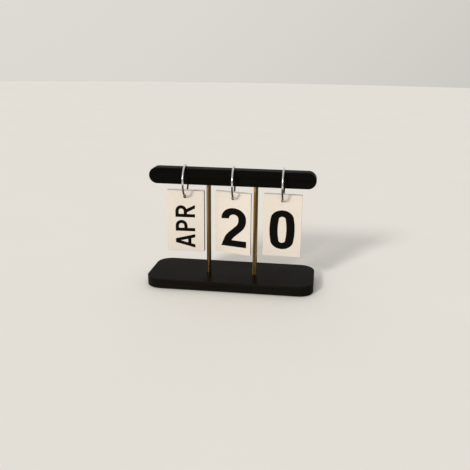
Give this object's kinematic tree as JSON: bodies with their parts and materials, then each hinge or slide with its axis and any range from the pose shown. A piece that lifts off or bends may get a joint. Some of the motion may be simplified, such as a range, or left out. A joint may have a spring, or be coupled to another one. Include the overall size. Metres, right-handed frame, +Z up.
{
  "type": "flip desk calendar",
  "caption": "Desk calendar: stacks of hole-punched cards hang on hinged wire rings over a round-ended bar on two posts and a rounded base.",
  "frame": {"origin": "middle of the base's footprint, on the surface it stands on", "axes": "+X along the bar to the right, +Y to the back, +Z up; the cards face -Y"},
  "size_m": [0.2, 0.076, 0.1449],
  "materials": {
    "black_wood": "satin black paint over fine grain",
    "brass": "polished rod, softly brushed",
    "steel": "zinc plated",
    "ring_wire": "bright nickel",
    "card": "matt off-white board",
    "pad": "matt non-slip pad",
    "ink": "matt black print on the cards"
  },
  "bodies": {
    "frame": {"base": "black_wood", "left_post": "brass", "right_post": "brass", "top_bar": "black_wood", "base_screws": "steel", "base_washers": "steel", "foot_pad_front_left": "pad", "foot_pad_front_right": "pad", "foot_pad_back_left": "pad", "foot_pad_back_right": "pad"},
    "month_ring": {"month_ring_lower_half": "ring_wire", "month_ring_rivet": "ring_wire"},
    "month_ring_gate": {"month_ring_upper_half": "ring_wire"},
    "month_card_1": {"month_card_1": "card"},
    "month_card_2": {"month_card_2": "card"},
    "month_card_3": {"month_card_3": "card"},
    "month_card_4": {"month_card_4": "card"},
    "month_card_5": {"month_card_5": "card"},
    "month_card_6": {"month_card_6": "card"},
    "tens_ring": {"tens_ring_lower_half": "ring_wire", "tens_ring_rivet": "ring_wire"},
    "tens_ring_gate": {"tens_ring_upper_half": "ring_wire"},
    "tens_card_1": {"tens_card_1": "card"},
    "tens_card_2": {"tens_card_2": "card"},
    "tens_card_3": {"tens_card_3": "card"},
    "tens_card_4": {"tens_card_4": "card"},
    "tens_card_5": {"tens_card_5": "card"},
    "ones_ring": {"ones_ring_lower_half": "ring_wire", "ones_ring_rivet": "ring_wire"},
    "ones_ring_gate": {"ones_ring_upper_half": "ring_wire"},
    "ones_card_1": {"ones_card_1": "card"},
    "ones_card_2": {"ones_card_2": "card"},
    "ones_card_3": {"ones_card_3": "card"},
    "ones_card_4": {"ones_card_4": "card"},
    "ones_card_5": {"ones_card_5": "card"}
  },
  "joints": [
    {"name": "month_ring_slide", "type": "slide", "parent": "frame", "child": "month_ring", "axis": [1, 0, 0], "range_m": [-0.019, 0.002]},
    {"name": "month_ring_open", "type": "hinge", "parent": "month_ring", "child": "month_ring_gate", "pos_m": [-0.05687, 0.01216, 0.13319], "axis": [-0.9986, -0.0523, 0], "range_deg": [0, 60]},
    {"name": "month_card_1_lift", "type": "hinge", "parent": "month_card_2", "child": "month_card_1", "pos_m": [-0.056, -0.0044, 0.12545], "axis": [-0.9986, -0.0523, 0], "range_deg": [0, 80]},
    {"name": "month_card_2_lift", "type": "hinge", "parent": "month_card_3", "child": "month_card_2", "pos_m": [-0.056, -0.0044, 0.12545], "axis": [-0.9986, -0.0523, 0], "range_deg": [0, 15]},
    {"name": "month_card_3_lift", "type": "hinge", "parent": "month_ring", "child": "month_card_3", "pos_m": [-0.056, -0.0044, 0.12545], "axis": [-0.9986, -0.0523, 0], "range_deg": [0, 7]},
    {"name": "month_card_4_lift", "type": "hinge", "parent": "month_ring", "child": "month_card_4", "pos_m": [-0.056, -0.0044, 0.12545], "axis": [0.9986, 0.0523, 0], "range_deg": [0, 8]},
    {"name": "month_card_5_lift", "type": "hinge", "parent": "month_card_4", "child": "month_card_5", "pos_m": [-0.056, -0.0044, 0.12545], "axis": [0.9986, 0.0523, 0], "range_deg": [0, 17]},
    {"name": "month_card_6_lift", "type": "hinge", "parent": "month_card_5", "child": "month_card_6", "pos_m": [-0.056, -0.0044, 0.12545], "axis": [0.9986, 0.0523, 0], "range_deg": [0, 70]},
    {"name": "tens_ring_slide", "type": "slide", "parent": "frame", "child": "tens_ring", "axis": [1, 0, 0], "range_m": [-0.004, 0.001]},
    {"name": "tens_ring_open", "type": "hinge", "parent": "tens_ring", "child": "tens_ring_gate", "pos_m": [0.00063, 0.01216, 0.13319], "axis": [-0.9986, -0.0523, 0], "range_deg": [0, 60]},
    {"name": "tens_card_1_lift", "type": "hinge", "parent": "tens_card_2", "child": "tens_card_1", "pos_m": [0.0015, -0.0044, 0.12545], "axis": [-0.9986, -0.0523, 0], "range_deg": [0, 80]},
    {"name": "tens_card_2_lift", "type": "hinge", "parent": "tens_card_3", "child": "tens_card_2", "pos_m": [0.0015, -0.0044, 0.12545], "axis": [-0.9986, -0.0523, 0], "range_deg": [0, 15]},
    {"name": "tens_card_3_lift", "type": "hinge", "parent": "tens_ring", "child": "tens_card_3", "pos_m": [0.0015, -0.0044, 0.12545], "axis": [-0.9986, -0.0523, 0], "range_deg": [0, 7]},
    {"name": "tens_card_4_lift", "type": "hinge", "parent": "tens_ring", "child": "tens_card_4", "pos_m": [0.0015, -0.0044, 0.12545], "axis": [0.9986, 0.0523, 0], "range_deg": [0, 20]},
    {"name": "tens_card_5_lift", "type": "hinge", "parent": "tens_card_4", "child": "tens_card_5", "pos_m": [0.0015, -0.0044, 0.12545], "axis": [0.9986, 0.0523, 0], "range_deg": [0, 75]},
    {"name": "ones_ring_slide", "type": "slide", "parent": "frame", "child": "ones_ring", "axis": [1, 0, 0], "range_m": [-0.006, 0.015]},
    {"name": "ones_ring_open", "type": "hinge", "parent": "ones_ring", "child": "ones_ring_gate", "pos_m": [0.06, 0.01218, 0.13319], "axis": [-1, 0, 0], "range_deg": [0, 60]},
    {"name": "ones_card_1_lift", "type": "hinge", "parent": "ones_card_2", "child": "ones_card_1", "pos_m": [0.06, -0.0044, 0.12545], "axis": [-1, 0, 0], "range_deg": [0, 80]},
    {"name": "ones_card_2_lift", "type": "hinge", "parent": "ones_card_3", "child": "ones_card_2", "pos_m": [0.06, -0.0044, 0.12545], "axis": [-1, 0, 0], "range_deg": [0, 15]},
    {"name": "ones_card_3_lift", "type": "hinge", "parent": "ones_ring", "child": "ones_card_3", "pos_m": [0.06, -0.0044, 0.12545], "axis": [-1, 0, 0], "range_deg": [0, 7]},
    {"name": "ones_card_4_lift", "type": "hinge", "parent": "ones_ring", "child": "ones_card_4", "pos_m": [0.06, -0.0044, 0.12545], "axis": [1, 0, 0], "range_deg": [0, 20]},
    {"name": "ones_card_5_lift", "type": "hinge", "parent": "ones_card_4", "child": "ones_card_5", "pos_m": [0.06, -0.0044, 0.12545], "axis": [1, 0, 0], "range_deg": [0, 75]}
  ]
}
